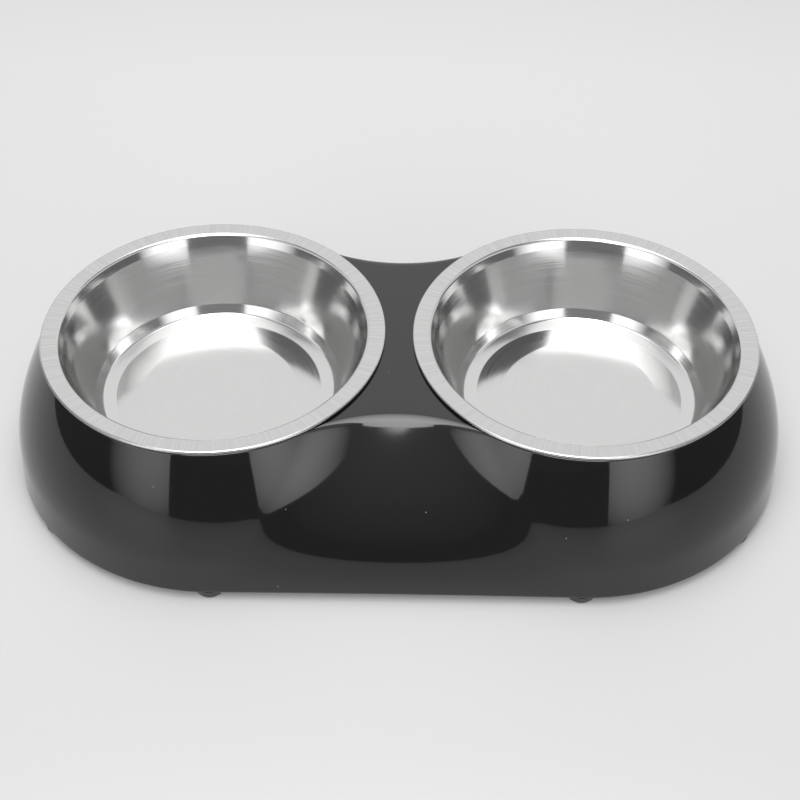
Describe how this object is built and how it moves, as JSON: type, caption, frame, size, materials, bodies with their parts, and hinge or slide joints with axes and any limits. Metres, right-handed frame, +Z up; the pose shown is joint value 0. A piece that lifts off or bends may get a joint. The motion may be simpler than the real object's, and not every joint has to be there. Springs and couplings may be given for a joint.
{
  "type": "double pet bowl",
  "caption": "Low moulded stand with two round openings that hold lift-out steel bowls side by side, on rubber feet.",
  "frame": {"origin": "centre of the footprint, on the surface that the feet stand on", "axes": "+X along the stand to the right bowl, +Y to the back, +Z up"},
  "size_m": [0.3224, 0.1732, 0.067],
  "materials": {
    "stand_melamine": "high gloss moulded melamine",
    "bowl_steel": "satin drawn stainless steel, turned in rings",
    "foot_rubber": "soft matt rubber"
  },
  "bodies": {
    "stand": {"stand_shell": "stand_melamine", "front_left_foot": "foot_rubber", "front_right_foot": "foot_rubber", "rear_left_foot": "foot_rubber", "rear_right_foot": "foot_rubber", "left_end_front_foot": "foot_rubber", "left_end_rear_foot": "foot_rubber", "right_end_front_foot": "foot_rubber", "right_end_rear_foot": "foot_rubber"},
    "left_bowl": {"left_bowl": "bowl_steel"},
    "right_bowl": {"right_bowl": "bowl_steel"}
  },
  "joints": [
    {"name": "left_bowl_lift", "type": "slide", "parent": "stand", "child": "left_bowl", "axis": [0, 0, 1], "range_m": [0, 0.08]},
    {"name": "right_bowl_lift", "type": "slide", "parent": "stand", "child": "right_bowl", "axis": [0, 0, 1], "range_m": [0, 0.08]}
  ]
}
